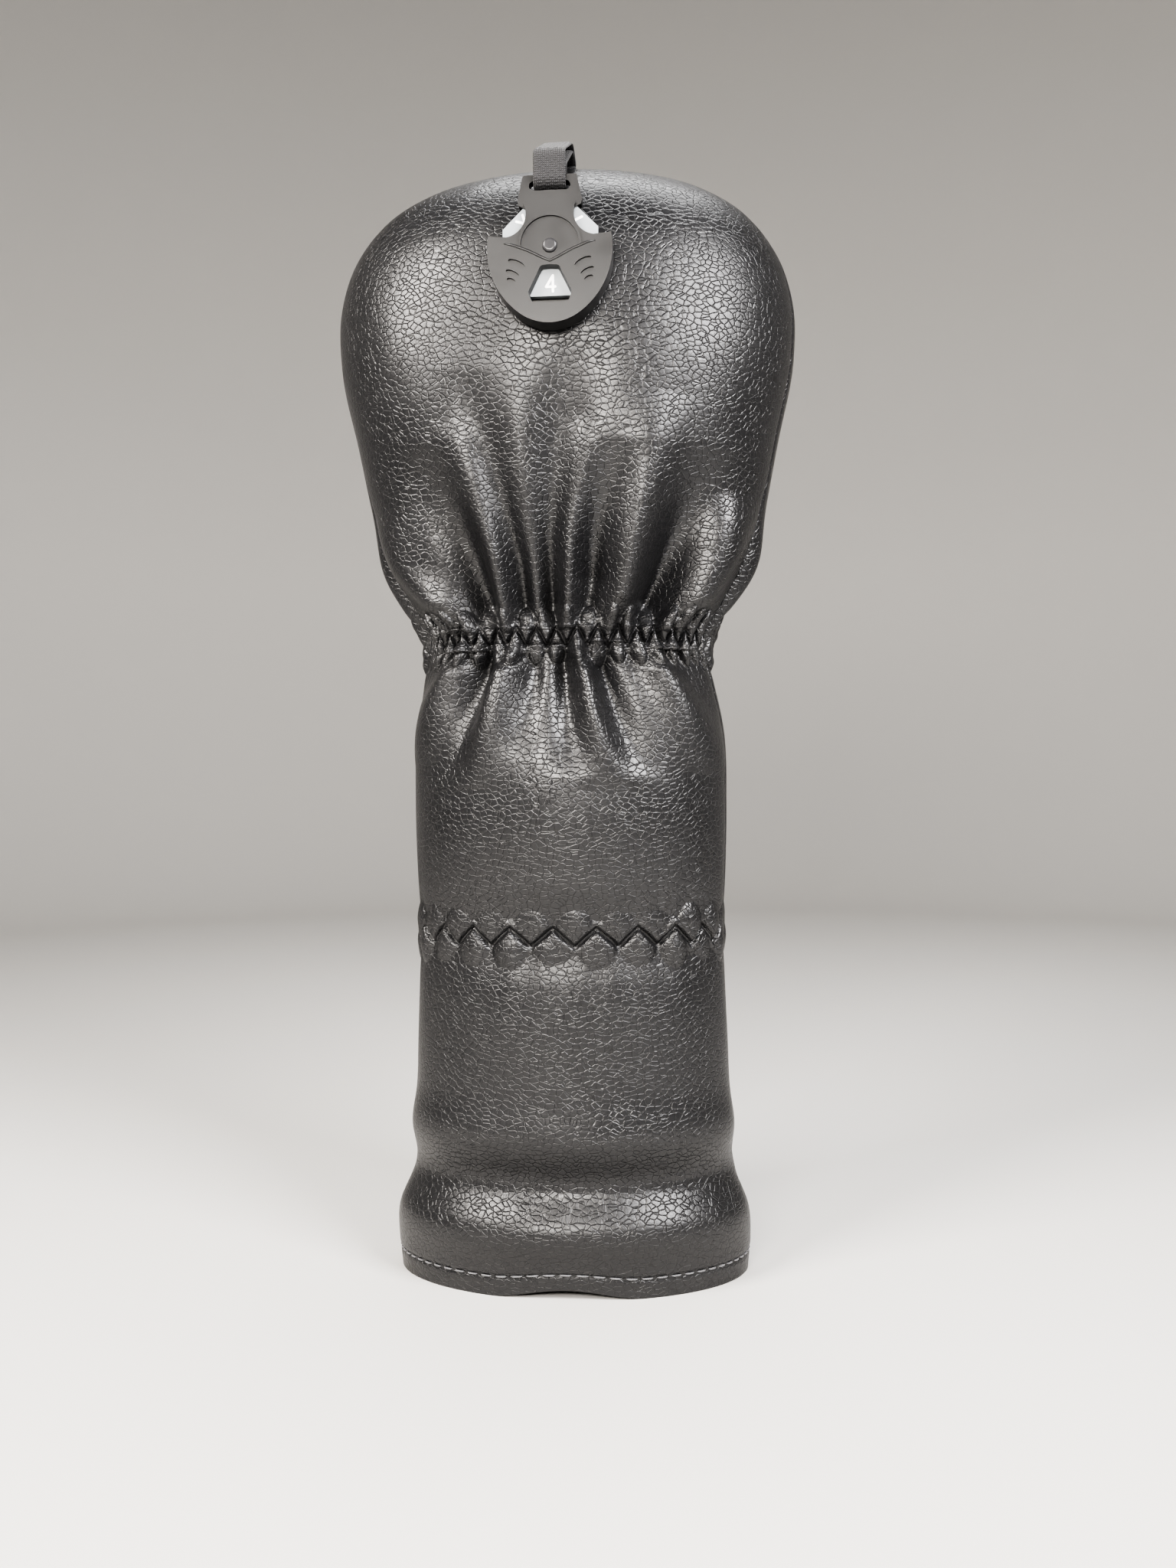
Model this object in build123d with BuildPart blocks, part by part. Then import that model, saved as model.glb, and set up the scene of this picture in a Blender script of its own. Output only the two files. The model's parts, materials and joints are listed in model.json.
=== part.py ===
from build123d import *
from math import atan2, cos, degrees, radians, sin
import os

# Golf driver head cover: a lined leather bag that stands on its open hem, gathered by two
# elastics, with a webbing loop in the crest seam that carries a rotating number tag.
# Frame: origin at the centre of the mouth, +Z up, the front faces -Y. Millimetres.

# ---- driving dimensions -------------------------------------------------------------------
crest_height = 359.0
leather_thick = 1.4
foam_thick = 1.2
foam_above_neck = 3.0
foam_below_crest = 14.0
lining_thick = 2.0
lining_low = 5.0
layer_gap = 0.1
seam_gap = 0.8
seam_foot_y = 3.0
seam_top_y = -13.0
thread_radius = 0.3

neck_height = 204.0
neck_band = 10.0
lower_height = 110.0
lower_band = 9.0
neck_waves = 38
lower_waves = 23
zigzag_reach = 2.9

hem_low = 0.3
hem_height = 12.0
hem_stitch_height = 6.3
hem_stitch_count = 74
hem_stitch_length = 3.0
seam_stitch_pitch = 5.0
seam_stitch_length = 3.4
seam_stitch_start = 6.0

strap_width = 9.6
strap_thick = 1.2
strap_lift = 2.0
strap_layer_gap = 0.15
strap_room = 0.8
strap_tail_depth = 3.4
strap_front_reach = 11.0
strap_back_reach = 9.0
strap_front_rise = 7.5
strap_back_rise = 6.0
strap_wrap = 2.45

tag_axle_height = 313.0
tag_back_y = -47.0
parting = 1.6
neck_face = 5.45
field_face = 6.15
collar_back = 1.4
collar_front = 4.4
slot_length = 12.0
slot_height = 2.7
slot_centre = 17.8
collar_top = 20.9

dial_radius = 15.0
dial_back = 1.8
dial_front = 3.7
dial_sides = 8
dial_room = 0.4
dial_roof = 0.2
axle_radius = 1.8
axle_head_radius = 2.1
running_clearance = 0.05
numeral_width = 2.6
numeral_height = 4.6
numeral_stroke = 0.75
numeral_radius = 10.3
numeral_raise = 0.12

# Outer leather form: height, half width, front reach and back reach of each oval section.
stations = [
    (0.0, 57.0, 31.0, 31.0),
    (12.0, 57.5, 31.5, 31.0),
    (38.0, 53.0, 30.0, 29.5),
    (75.0, 51.0, 31.0, 30.0),
    (lower_height, 49.5, 28.0, 28.0),
    (148.0, 51.0, 33.0, 30.5),
    (182.0, 49.5, 30.5, 29.0),
    (neck_height, 45.0, 25.0, 25.5),
    (226.0, 57.5, 34.0, 31.5),
    (260.0, 68.5, 43.0, 37.0),
    (300.0, 75.0, 46.2, 39.0),
    (322.0, 72.0, 43.2, 38.5),
    (337.0, 61.5, 36.0, 34.0),
    (347.0, 47.5, 25.5, 27.0),
    (354.0, 31.0, 14.5, 17.0),
    (crest_height, 12.0, 5.0, 7.5),
]
dome_base = 300.0
seam_plane = Plane(
    origin=(0, seam_foot_y, 0),
    x_dir=(1, 0, 0),
    z_dir=(0, -crest_height, seam_top_y - seam_foot_y),
)


def loft_form(inset):
    """The bag's outer form shrunk by inset, lofted from the mouth to the crest."""
    with BuildPart() as form:
        for height, half_width, front, back in stations:
            sink = inset * max(0.0, (height - dome_base) / (crest_height - dome_base))
            with BuildSketch(Plane.XY.offset(height - sink)):
                with Locations((0, (back - front) / 2)):
                    Ellipse(half_width - inset, (front + back) / 2 - inset)
        loft()
    return form.part


def layer(outer_inset, inner_inset, low, high):
    """One closed layer of the bag between two insets and two heights."""
    with BuildPart() as made:
        add(loft_form(outer_inset))
        add(loft_form(inner_inset), mode=Mode.SUBTRACT)
        split(bisect_by=Plane.XY.offset(low), keep=Keep.TOP)
        if high < crest_height:
            split(bisect_by=Plane.XY.offset(high), keep=Keep.BOTTOM)
    return made.part


def half_of(whole, front):
    """The front or back half of a layer, cut beside the side seams."""
    with BuildPart() as made:
        add(whole)
        if front:
            split(bisect_by=seam_plane.offset(seam_gap / 2), keep=Keep.TOP)
        else:
            split(bisect_by=seam_plane.offset(-seam_gap / 2), keep=Keep.BOTTOM)
    return made.part


def save(part, label):
    """Names a finished piece and writes its STEP file."""
    part.label = label
    export_step(part, f"parts/{label}.step")


os.makedirs("parts", exist_ok=True)

# ---- leather bag: two panels sewn together along the sides and over the crest ---------------
outer_form = loft_form(0)
leather = layer(0, leather_thick, 0, crest_height)
tail_slot_width = strap_width + strap_room
tail_slot_depth = 2 * strap_thick + strap_layer_gap + strap_room
tail_slot_height = 12.0

# Where the strap leaves the crest seam: the leather's top edge in the seam plane.
seam_top = (outer_form & seam_plane).bounding_box().max.Z
seam_y = seam_foot_y + (seam_top_y - seam_foot_y) * seam_top / crest_height


def leather_panel(front):
    """A leather panel with its half of the notch that the webbing tails pass through."""
    with BuildPart() as made:
        add(half_of(leather, front))
        with Locations((0, seam_y, seam_top)):
            Box(tail_slot_width, tail_slot_depth, tail_slot_height, mode=Mode.SUBTRACT)
    return made.part


save(leather_panel(True), "front_panel")
save(leather_panel(False), "back_panel")

# ---- layers behind the leather ---------------------------------------------------------------
foam_outer = leather_thick + layer_gap
foam_inner = foam_outer + foam_thick
lining_outer = foam_inner + layer_gap
lining_inner = lining_outer + lining_thick
foam_low = neck_height + neck_band / 2 + foam_above_neck
foam_high = crest_height - foam_below_crest

foam = layer(foam_outer, foam_inner, foam_low, foam_high)
save(half_of(foam, True), "head_foam_front")
save(half_of(foam, False), "head_foam_back")
lining = layer(lining_outer, lining_inner, lining_low, crest_height)
save(half_of(lining, True), "lining_front")
save(half_of(lining, False), "lining_back")

neck_low = neck_height - neck_band / 2
lower_low = lower_height - lower_band / 2
save(layer(foam_outer, foam_inner, neck_low, neck_low + neck_band), "neck_elastic")
save(layer(foam_outer, foam_inner, lower_low, lower_low + lower_band), "lower_elastic")
save(layer(foam_outer, foam_inner, hem_low, hem_height), "hem_facing")


# ---- threads -----------------------------------------------------------------------------------
def ring_edge(height):
    """The closed edge of the leather's outer form at a height."""
    return (outer_form & Plane.XY.offset(height)).edges().sort_by(Edge.length)[-1]


def between(start, end):
    """The place of a stitch that runs from start to end."""
    return Plane(origin=(start + end) / 2, z_dir=end - start)


def stitches(places, length):
    """Equal straight stitches, one at each place."""
    with BuildPart() as made:
        with Locations(*places):
            Cylinder(thread_radius, length)
    return made.part


def zigzag_places(height, waves):
    """Places and length of the legs of a zigzag stitch round the bag."""
    rings = [ring_edge(height - zigzag_reach), ring_edge(height + zigzag_reach)]
    count = 2 * waves
    nodes = [rings[i % 2] @ (i / count) for i in range(count)]
    pairs = list(zip(nodes, nodes[1:] + nodes[:1]))
    shortest = min((b - a).length for a, b in pairs)
    return [between(a, b) for a, b in pairs], shortest - 4 * thread_radius


for node, height, waves in (
    ("neck_zigzag_stitching", neck_height, neck_waves),
    ("lower_zigzag_stitching", lower_height, lower_waves),
):
    places, leg = zigzag_places(height, waves)
    save(stitches(places, leg), node)

hem_edge = ring_edge(hem_stitch_height)
hem_step = 1 / hem_stitch_count
hem_nodes = [hem_edge @ (i * hem_step) for i in range(hem_stitch_count)]
hem_places = [between(a, b) for a, b in zip(hem_nodes, hem_nodes[1:] + hem_nodes[:1])]
save(stitches(hem_places, hem_stitch_length), "hem_stitching")

# The seam's outline at mid thickness of the leather, stitched from just above the open hem.
seam_form = loft_form(leather_thick / 2)
seam_outline = (seam_form & seam_plane).edges().sort_by(Edge.length)[-2:]
seam_places = []
for side in seam_outline:
    count = int(side.length / seam_stitch_pitch)
    for i in range(1, count):
        spot = side @ (i / count)
        beside_strap = abs(spot.X) > (tail_slot_width + seam_stitch_length) / 2
        if beside_strap and spot.Z > seam_stitch_start:
            seam_places.append(Plane(origin=spot, z_dir=side % (i / count)))
save(stitches(seam_places, seam_stitch_length), "side_seam_stitching")

# ---- webbing loop -------------------------------------------------------------------------------
# The strap's two layers leave the seam through a knuckle, which the loop swings about.
layer_offset = (strap_thick + strap_layer_gap) / 2
knuckle = strap_thick + strap_layer_gap / 2
hinge_z = seam_top + strap_lift
tail_low = seam_top - strap_tail_depth
tail_high = hinge_z - knuckle - running_clearance
bar_bottom = slot_centre + slot_height / 2
bar_y = tag_back_y - (collar_back + collar_front) / 2
bar_z = tag_axle_height + (bar_bottom + collar_top) / 2
front_leg_y = bar_y - strap_wrap
back_leg_y = bar_y + strap_wrap
wrap_z = bar_z - strap_wrap
wrap_bend = strap_wrap - 0.01
leg_bend = 4.0
crest_bend_outer = 14.0
crest_bend_inner = 12.0

with BuildPart() as webbing_loop:
    with BuildLine(Plane.YZ) as strap_line:
        FilletPolyline(
            (seam_y, hinge_z + layer_offset),
            (seam_y - strap_front_reach, hinge_z + layer_offset),
            (front_leg_y, bar_z + strap_front_rise),
            (front_leg_y, wrap_z),
            (back_leg_y, wrap_z),
            (back_leg_y, bar_z + strap_back_rise),
            (seam_y - strap_back_reach, hinge_z - layer_offset),
            (seam_y, hinge_z - layer_offset),
            radius=[crest_bend_outer, leg_bend, wrap_bend, wrap_bend, leg_bend, crest_bend_inner],
        )
    with BuildSketch(strap_line.line ^ 0):
        Rectangle(strap_thick, strap_width)
    sweep()
    with Locations(Location((0, seam_y, hinge_z), (0, 90, 0))):
        Cylinder(knuckle, strap_width)
save(webbing_loop.part, "webbing_loop")

with BuildPart() as webbing_tail:
    with Locations(
        (0, seam_y - layer_offset, (tail_low + tail_high) / 2),
        (0, seam_y + layer_offset, (tail_low + tail_high) / 2),
    ):
        Box(strap_width, strap_thick, tail_high - tail_low)
save(webbing_tail.part, "webbing_tail")

tack_pitch = 3.2
tack_length = 2.4
tack_offset = layer_offset + strap_thick / 2 + thread_radius
tack_z = tail_low + thread_radius + running_clearance
tack_places = [
    Plane(origin=(column * tack_pitch, seam_y + side * tack_offset, tack_z), z_dir=(1, 0, 0))
    for column in (-1, 0, 1)
    for side in (-1, 1)
]
save(stitches(tack_places, tack_length), "loop_bar_tack")

# ---- number tag: local x to the right, local y up, local z out of its front --------------------
tag_plane = Plane(origin=(0, tag_back_y, tag_axle_height), x_dir=(1, 0, 0), z_dir=(0, -1, 0))
shoulder = (7.2, 11.3)
notch_low = (12.6, 2.8)
tip = (17.7, 3.2)
heel = (8.2, -19.9)
bottom = (0, -22.4)
collar_corner = 1.0
window_corner = 1.1
window_draft = 9
post_spots = [(-6.0, -18.0), (6.0, -18.0)]
post_radius = 0.9
post_height = 1.9
post_room = 0.1
pocket_radius = dial_radius + dial_room
pocket_top = dial_front + dial_roof
ridge_inner = 8.45
ridge_outer = 9.25
ridge_foot = -0.5
ridge_raise = 0.55
dimple_depth = 0.6


def body_sketch(plane, top):
    """Face of the tag's body and neck, closed at the top by an arc that crests at top."""
    with BuildSketch(plane) as face:
        with BuildLine():
            ThreePointArc(shoulder, (8.5, 5.1), notch_low)
            Line(notch_low, tip)
            ThreePointArc(tip, (16.2, -10.2), heel)
            ThreePointArc(heel, (4.3, -21.75), bottom)
            Line(shoulder, (7.6, 12.2))
            ThreePointArc((7.6, 12.2), (4.0, top - 0.8), (0, top))
            mirror(about=Plane.YZ)
        make_face()
    return face.sketch


def brow_sketch(plane):
    """Face of the raised lower field, whose top edge dips to a point below the axle."""
    with BuildSketch(plane) as face:
        with BuildLine():
            ThreePointArc(tip, (16.2, -10.2), heel)
            ThreePointArc(heel, (4.3, -21.75), bottom)
            Spline([(0, -4.7), (4.5, -2.5), (8.8, -0.6), (13.2, 0.6)])
            Line((13.2, 0.6), tip)
            mirror(about=Plane.YZ)
        make_face()
    return face.sketch


def collar_sketch(plane):
    """Face of the collar that holds the webbing slot."""
    with BuildSketch(plane) as face:
        with BuildLine():
            Polyline([(0, collar_top), (7.8, collar_top), (9.4, 13.4), (9.0, 12.2), shoulder, (0, 11.3)])
            mirror(about=Plane.YZ)
        make_face()
        fillet(face.vertices().group_by(Axis.Y)[-1], collar_corner)
    return face.sketch


def window_sketch(plane):
    """Tooth-shaped window over the numeral."""
    with BuildSketch(plane) as face:
        with BuildLine():
            Polyline([(0, -5.7), (2.6, -5.9), (6.4, -13.6), (5.3, -16.3), (0, -16.7)])
            mirror(about=Plane.YZ)
        make_face()
        fillet(face.vertices().filter_by(lambda v: abs(v.X) > 1), window_corner)
    return face.sketch


def round_sketch(plane, radius, spots=((0, 0),)):
    """Circles of one radius, about the axle or about the given spots."""
    with BuildSketch(plane) as face:
        with Locations(*spots):
            Circle(radius)
    return face.sketch


def ridge_sketch(plane):
    """Half ring of the raised ridge that frames the upper side of the axle."""
    with BuildSketch(plane) as face:
        Circle(ridge_outer)
        Circle(ridge_inner, mode=Mode.SUBTRACT)
        with Locations((0, -ridge_outer)):
            Rectangle(2 * ridge_outer, 2 * (ridge_outer + ridge_foot), mode=Mode.SUBTRACT)
    return face.sketch


dimples = [
    ((9.6, -5.2), 2.6, 0.95, 26),
    ((10.8, -7.9), 2.05, 0.72, 26),
    ((11.2, -10.0), 1.3, 0.66, 24),
]

with BuildPart() as tag_front_shell:
    extrude(body_sketch(tag_plane.offset(parting), 16.0), amount=neck_face - parting)
    extrude(brow_sketch(tag_plane.offset(neck_face)), amount=field_face - neck_face)
    extrude(ridge_sketch(tag_plane.offset(neck_face)), amount=ridge_raise)
    extrude(collar_sketch(tag_plane.offset(collar_back)), amount=collar_front - collar_back)
    extrude(
        round_sketch(tag_plane.offset(parting), pocket_radius),
        amount=pocket_top - parting,
        mode=Mode.SUBTRACT,
    )
    with BuildSketch(tag_plane):
        with Locations((0, slot_centre)):
            SlotOverall(slot_length, slot_height)
    extrude(amount=field_face, mode=Mode.SUBTRACT)
    extrude(
        window_sketch(tag_plane.offset(field_face)),
        amount=-(field_face - parting),
        taper=window_draft,
        mode=Mode.SUBTRACT,
    )
    for (x, y), half_length, half_width, turn in dimples:
        for side in (-1, 1):
            with BuildSketch(tag_plane.offset(field_face)):
                with Locations(Location((side * x, y, 0), (0, 0, side * turn))):
                    Ellipse(half_length, half_width)
            extrude(amount=-dimple_depth, mode=Mode.SUBTRACT)
    extrude(
        round_sketch(tag_plane.offset(parting), axle_head_radius + running_clearance),
        amount=field_face,
        mode=Mode.SUBTRACT,
    )
    extrude(
        round_sketch(tag_plane.offset(parting), post_radius + post_room, post_spots),
        amount=post_height + 2 * post_room,
        mode=Mode.SUBTRACT,
    )
save(tag_front_shell.part, "tag_front_shell")

axle_foot = 0.65
axle_step = pocket_top + 0.1
axle_crown = neck_face + 0.85
axle_dome = 0.8

with BuildPart() as tag_back_shell:
    extrude(body_sketch(tag_plane, 11.2), amount=parting)
    extrude(round_sketch(tag_plane.offset(parting), post_radius, post_spots), amount=post_height)
    extrude(
        round_sketch(tag_plane.offset(axle_foot - running_clearance), axle_radius + running_clearance),
        amount=parting,
        mode=Mode.SUBTRACT,
    )
save(tag_back_shell.part, "tag_back_shell")

with BuildPart() as dial_axle:
    extrude(round_sketch(tag_plane.offset(axle_foot), axle_radius), amount=axle_step - axle_foot)
    extrude(round_sketch(tag_plane.offset(axle_step), axle_head_radius), amount=axle_crown - axle_step)
    fillet(dial_axle.edges().group_by(Axis.Y)[0], axle_dome)
save(dial_axle.part, "dial_axle")

with BuildPart() as number_dial:
    with BuildSketch(tag_plane.offset(dial_back)):
        RegularPolygon(dial_radius, dial_sides, rotation=180 / dial_sides)
        Circle(axle_radius + running_clearance, mode=Mode.SUBTRACT)
    extrude(amount=dial_front - dial_back)
save(number_dial.part, "number_dial")

# Strokes of each numeral on a grid one wide and two high, in their order round the dial.
numerals = [
    [[(0.75, 0), (0.75, 2), (0, 0.6), (1, 0.6)]],
    [[(1, 2), (0, 2), (0, 1.1), (1, 1.1), (1, 0), (0, 0)]],
    [[(1, 2), (0, 2), (0, 0), (1, 0), (1, 1), (0, 1)]],
    [[(0, 2), (1, 2), (0.35, 0)]],
    [[(0, 0), (1, 0), (1, 2), (0, 2), (0, 1), (1, 1)]],
    [[(0, 0), (1, 2)], [(0, 2), (1, 0)]],
    [[(0, 2), (1, 2), (1, 1), (0, 1), (0, 0), (1, 0)]],
    [[(0, 2), (1, 2), (1, 0), (0, 0)], [(0.3, 1), (1, 1)]],
]


def numeral_sketch(plane, strokes):
    """One numeral drawn with round-ended strokes at the foot of the dial."""
    with BuildSketch(plane) as face:
        for stroke in strokes:
            points = [
                Vector((x - 0.5) * numeral_width, (y - 1) * numeral_height / 2 - numeral_radius)
                for x, y in stroke
            ]
            for start, end in zip(points, points[1:]):
                run = end - start
                with Locations((start + end) / 2):
                    SlotCenterToCenter(run.length, numeral_stroke, rotation=degrees(atan2(run.Y, run.X)))
    return face.sketch


with BuildPart() as dial_numerals:
    for i, strokes in enumerate(numerals):
        turn = radians(i * 360 / dial_sides)
        turned = Plane(
            origin=tag_plane.offset(dial_front).origin,
            x_dir=(cos(turn), 0, sin(turn)),
            z_dir=tag_plane.z_dir,
        )
        extrude(numeral_sketch(turned, strokes), amount=numeral_raise)
save(dial_numerals.part, "dial_numerals")
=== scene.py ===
import json
import math

import bpy
import numpy as np
from mathutils import Matrix, Vector


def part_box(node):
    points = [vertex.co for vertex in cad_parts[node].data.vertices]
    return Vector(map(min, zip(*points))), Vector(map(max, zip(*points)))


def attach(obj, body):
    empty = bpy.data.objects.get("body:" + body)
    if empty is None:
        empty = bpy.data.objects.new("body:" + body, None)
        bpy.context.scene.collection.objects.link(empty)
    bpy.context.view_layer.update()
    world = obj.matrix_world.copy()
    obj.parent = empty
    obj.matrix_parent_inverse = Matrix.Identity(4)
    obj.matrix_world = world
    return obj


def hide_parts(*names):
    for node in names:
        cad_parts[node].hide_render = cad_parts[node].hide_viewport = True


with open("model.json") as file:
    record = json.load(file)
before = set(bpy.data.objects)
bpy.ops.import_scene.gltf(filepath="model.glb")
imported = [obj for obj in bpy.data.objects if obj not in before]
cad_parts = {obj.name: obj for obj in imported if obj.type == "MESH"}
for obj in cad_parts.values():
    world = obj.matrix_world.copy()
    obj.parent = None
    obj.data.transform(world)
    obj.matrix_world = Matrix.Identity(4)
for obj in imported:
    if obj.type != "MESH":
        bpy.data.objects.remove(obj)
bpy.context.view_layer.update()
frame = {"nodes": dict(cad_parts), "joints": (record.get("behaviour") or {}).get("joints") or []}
MM = 0.001

# ---- the bag's form, in millimetres ---------------------------------------------------------
# Height, half width, front reach and back reach of each section of the leather.
STATIONS = np.array([
    (0.0, 57.2, 31.0, 31.0), (9.0, 57.9, 32.2, 31.8), (20.0, 56.6, 33.6, 31.4),
    (34.0, 53.2, 30.2, 29.6), (48.0, 52.2, 32.0, 30.6), (75.0, 51.4, 31.6, 30.4),
    (95.0, 50.6, 30.6, 29.4), (110.0, 50.0, 28.0, 28.0), (128.0, 51.0, 32.2, 30.4),
    (152.0, 51.6, 34.6, 31.4), (175.0, 51.0, 32.6, 30.4), (192.0, 47.8, 28.4, 27.6),
    (204.0, 45.0, 24.6, 25.0), (216.0, 52.0, 29.6, 29.0), (231.0, 59.4, 35.6, 32.4),
    (250.0, 65.2, 40.6, 35.6), (270.0, 69.4, 44.0, 37.6), (295.0, 74.4, 45.8, 38.8),
    (310.0, 74.6, 45.2, 38.8), (325.0, 70.6, 42.4, 37.8), (337.0, 62.6, 36.4, 34.4),
    (346.5, 50.5, 27.0, 28.2), (353.0, 35.5, 17.0, 19.2), (356.8, 20.0, 9.2, 11.0),
    (358.4, 8.0, 4.2, 5.0), (358.9, 0.6, 0.5, 0.5),
])
NECK_Z, LOWER_Z, ZIGZAG_REACH = 204.0, 110.5, 2.9
NECK_WAVES, LOWER_WAVES = 19, 11
FOLD_GAIN = 1.3
SEAM_FOOT_Y, SEAM_TOP_Y, CREST_Z = 3.0, -13.0, 359.0
LEATHER_THICK = 1.4
FRONT_TOP_Z = 355.0
HEM_STITCH_Z = 6.3
HEM_GROOVE, HEM_GROOVE_WIDTH = 0.55, 0.9
ARCH_HEIGHT, ARCH_HALF, ARCH_TOP_Z = 3.0, 24.0, 26.0
SEAM_GROOVE, SEAM_GROOVE_WIDTH, SEAM_FADE = 1.9, 1.3, 0.5
STITCH_GROOVE_WIDTH = 1.0

# The head's sections are squarer than ellipses, and its dome's outward directions tilt up.
SQUARE_FROM_Z, SQUARE_OVER, SQUARENESS = 215.0, 60.0, 0.22
DOME_FROM_Z, DOME_OVER, DOME_TILT = 318.0, 40.0, 0.045

# Soft rolls round the front of the mouth: height, depth outwards and half width.
ROLLS = [(20, 1.8, 8), (34, -1.7, 7), (49, 2.0, 8)]

# The back panel: its folds round the neck, and where it stands out beside the seams.
BACK_FOLD_DEPTH, BACK_FOLD_REACH, BACK_FOLD_COUNT, BACK_FOLD_RISE = 3.0, 52.0, 6.5, 4.0
BACK_BULGE, BACK_BULGE_Z, BACK_BULGE_HALF = 3.4, 226.0, 15.0
BACK_BULGE_INSET, BACK_BULGE_WIDTH = 8.0, 7.0

# Folds run past their ends by FOLD_PAST, and die away within FOLD_FADE of the neck.
FOLD_PAST, FOLD_FADE, FOLD_LEAST = 6.0, 11.0, 0.1
SWELL, SWELL_WAVES, SWELL_HEIGHT, SWELL_FROM_Z = 0.35, 3, 13.0, 40.0

# Gathers: height, waves a panel, groove depth, puff height, wave pitch, puff reach up and down,
# smallest puff's share, pleat depth, pleat reach, seed.
GATHERS = [
    (NECK_Z, NECK_WAVES, 2.3, 3.8, 6.0, 7.4, 0.8, 0.2, 9.0, 3),
    (LOWER_Z, LOWER_WAVES, 1.6, 2.1, 11.6, 7.6, 0.5, 0.35, 9.0, 5),
]

# Folds of the front: points (x, height) down the fold, depth outwards, and half width at each end.
FOLDS = [
    ([(-26, 282), (-21, 258), (-17.5, 243), (-13.5, 227), (-12, 207)], -5.2, 8.0, 3.0),
    ([(6, 292), (2, 268), (0.2, 253), (-2.3, 232), (-2.8, 207)], -5.6, 11.0, 2.8),
    ([(-44, 262), (-36, 246), (-29, 228), (-23, 208)], -6.4, 11.0, 4.0),
    ([(-31, 268), (-25, 248), (-20.2, 230), (-17.5, 209)], 3.0, 6.5, 3.2),
    ([(-62, 246), (-50, 227), (-38, 214), (-29, 206)], 5.4, 11.0, 4.2),
    ([(10, 268), (6, 250), (3.0, 234), (1.8, 209)], 3.6, 6.5, 3.0),
    ([(20, 260), (14.5, 245), (11, 230), (8.5, 209)], -5.4, 9.5, 3.6),
    ([(32, 274), (26, 248), (21, 228), (16.5, 208)], 4.6, 10.0, 3.8),
    ([(48, 260), (40, 240), (32, 221), (25, 208)], -7.2, 10.0, 3.6),
    ([(58, 248), (50, 229), (41, 215), (32, 206)], 5.6, 9.0, 4.0),
    ([(9.9, 222), (9.9, 208)], 3.2, 5.0, 3.8),
    ([(-46, 164), (-40, 184), (-31, 201)], 4.2, 10.0, 4.0),
    ([(-36, 158), (-30, 178), (-24, 198)], -4.6, 7.0, 3.0),
    ([(-29, 156), (-22, 180), (-15, 201)], 4.8, 10.0, 4.0),
    ([(-13, 166), (-9.5, 184), (-8, 200)], -2.6, 5.5, 2.6),
    ([(5, 160), (2, 184), (0.5, 200)], -4.4, 7.0, 2.6),
    ([(16, 156), (9, 180), (5, 201)], 4.4, 9.0, 3.4),
    ([(24, 160), (17, 180), (11.5, 198)], -4.4, 6.5, 2.8),
    ([(46, 160), (37, 180), (26, 201)], 4.6, 10.5, 3.8),
]


def through(points, samples):
    """Smooth values through rows of points, at shares 0 to 1 of the way along them."""
    steps = np.r_[0, np.cumsum(np.linalg.norm(np.diff(points[:, :3], axis=0), axis=1))]
    slope = np.gradient(points, steps, axis=0)
    at = samples * steps[-1]
    i = np.clip(np.searchsorted(steps, at) - 1, 0, len(steps) - 2)
    h = (steps[i + 1] - steps[i])[:, None]
    t = (at - steps[i])[:, None] / h
    return ((2 * t**3 - 3 * t**2 + 1) * points[i] + (t**3 - 2 * t**2 + t) * h * slope[i]
            + (3 * t**2 - 2 * t**3) * points[i + 1] + (t**3 - t**2) * h * slope[i + 1])


def waves(u, count, seed):
    """Smooth uneven waves along u, from a few seeded sine waves about count."""
    sines, height = 5, 2.4
    draw = np.random.default_rng(seed)
    total = np.zeros_like(u)
    for _ in range(sines):
        total += np.sin(2 * math.pi * count * draw.uniform(0.72, 1.3) * u + draw.uniform(0, 6.28))
    return total / height


def zigzag(u, count, middle):
    """Height of the zigzag stitch at u."""
    return middle + ZIGZAG_REACH * (2 / math.pi) * np.arcsin(np.sin(2 * math.pi * count * u))


def bump(d, width):
    """A smooth rise to 1 at d of zero."""
    return np.exp(-(d / width) ** 2)


def puffs(u, z, count, middle, pitch, tall, least, seed):
    """Rounded puffs, one between each two legs of the zigzag, above and below it in turn."""
    largest, narrowing, offset, roundness = 1.2, 2.1, 0.25, 0.75
    ripple, ripple_rate = 0.05, 9
    draw = np.random.default_rng(seed)
    total = np.zeros_like(u)
    for side, phase in ((1, 0.75), (-1, 0.25)):
        turn = u * count - phase + 0.5
        size = draw.uniform(least, largest, count + 2)[np.floor(turn).astype(int) + 1]
        across = (turn % 1 - 0.5) * narrowing
        up = (z - middle - offset * side * tall) / (tall * (0.6 + 0.4 * size))
        total = np.maximum(total, size * np.clip(1 - across**2 - up**2, 0, 1) ** roundness)
    return total * (1 + ripple * np.sin(ripple_rate * z / pitch))


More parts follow.
